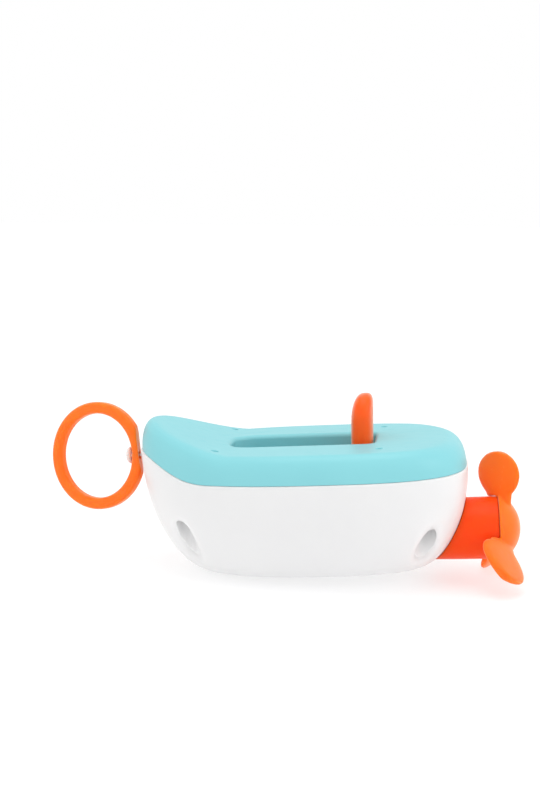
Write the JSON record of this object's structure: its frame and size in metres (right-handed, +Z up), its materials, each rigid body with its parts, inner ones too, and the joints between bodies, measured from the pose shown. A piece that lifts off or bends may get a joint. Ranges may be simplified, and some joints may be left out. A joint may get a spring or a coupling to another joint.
{
  "type": "toy boat",
  "caption": "Plump two-part toy bath boat with a cockpit well, a bow pull ring on a cord, a thumb lever and a geared stern propeller on a barrel pod.",
  "frame": {"origin": "under the middle of the boat's bounding box, at the height of the lowest propeller blade", "axes": "+X aft along the boat towards the propeller, +Y to port, +Z up"},
  "size_m": [0.229, 0.096, 0.0912],
  "materials": {
    "white_plastic": "satin",
    "teal_plastic": "satin",
    "orange_plastic": "satin",
    "soft_orange_plastic": "satin",
    "clear_stopper": "translucent",
    "nylon": "moulded",
    "grey_plastic": "moulded",
    "steel": "drawn",
    "bronze": "sintered",
    "rubber": "matt",
    "cord": "braided"
  },
  "bodies": {
    "hull": {"hull_shell": "white_plastic", "deck": "teal_plastic", "deck_seal": "rubber", "hull_screw_1": "steel", "hull_screw_2": "steel", "hull_screw_3": "steel", "hull_screw_4": "steel", "propeller_pod": "orange_plastic", "pod_screw_1": "steel", "pod_screw_2": "steel", "pod_screw_3": "steel", "shaft_bush_front": "bronze", "shaft_bush_rear": "bronze", "shaft_seal": "rubber", "gearbox_front": "grey_plastic", "gearbox_rear": "grey_plastic", "gearbox_screw_1": "steel", "gearbox_screw_2": "steel", "gearbox_screw_3": "steel", "gearbox_screw_4": "steel", "drum_axle": "steel", "bow_eyelet": "white_plastic", "cord_guide_post": "white_plastic", "guide_pulley_pin": "steel", "pull_cord": "cord", "lever_pin": "steel"},
    "cord_end": {"cord_tail": "cord"},
    "ring": {"pull_ring": "soft_orange_plastic", "cord_stopper": "clear_stopper"},
    "drum": {"cord_drum": "nylon", "cord_winding": "cord", "mainspring": "steel"},
    "pulley": {"guide_pulley": "nylon"},
    "propeller_line": {"propeller": "soft_orange_plastic", "propeller_shaft": "steel", "drive_pinion": "nylon"},
    "clutch_gear": {"drive_gear": "white_plastic", "click_spring": "steel"},
    "lever": {"release_lever": "orange_plastic", "brake_pad": "rubber"}
  },
  "joints": [
    {"name": "ring_pull", "type": "slide", "parent": "hull", "child": "cord_end", "axis": [-1, 0, 0], "range_m": [0, 0.25], "stiffness_N_per_m": 12, "springref_m": -0.15},
    {"name": "ring_swing", "type": "hinge", "parent": "cord_end", "child": "ring", "pos_m": [-0.06619, 0, 0.06489], "axis": [0, 0, 1], "range_deg": [-24, 24]},
    {"name": "drum_spin", "type": "hinge", "parent": "hull", "child": "drum", "pos_m": [0.05951, 0, 0.04759], "axis": [1, 0, 0], "range_deg": [0, 1631]},
    {"name": "guide_pulley_spin", "type": "hinge", "parent": "hull", "child": "pulley", "pos_m": [0.05421, -0.0187, 0.05639], "axis": [0, 0, -1], "range_deg": [0, 2706]},
    {"name": "propeller_spin", "type": "hinge", "parent": "hull", "child": "propeller_line", "pos_m": [0.10441, 0, 0.02509], "axis": [1, 0, 0], "continuous": true},
    {"name": "drive_gear_spin", "type": "hinge", "parent": "hull", "child": "clutch_gear", "pos_m": [0.06801, 0, 0.04759], "axis": [1, 0, 0], "continuous": true},
    {"name": "lever_rock", "type": "hinge", "parent": "hull", "child": "lever", "pos_m": [0.04401, 0, 0.03149], "axis": [0, -1, 0], "range_deg": [0, 16]}
  ],
  "couplings": [
    {"joint": "drum_spin", "follows": "ring_pull", "rad_per_m": 113.64},
    {"joint": "guide_pulley_spin", "follows": "ring_pull", "rad_per_m": 188.68},
    {"joint": "drive_gear_spin", "follows": "propeller_spin", "ratio": -0.36364}
  ]
}
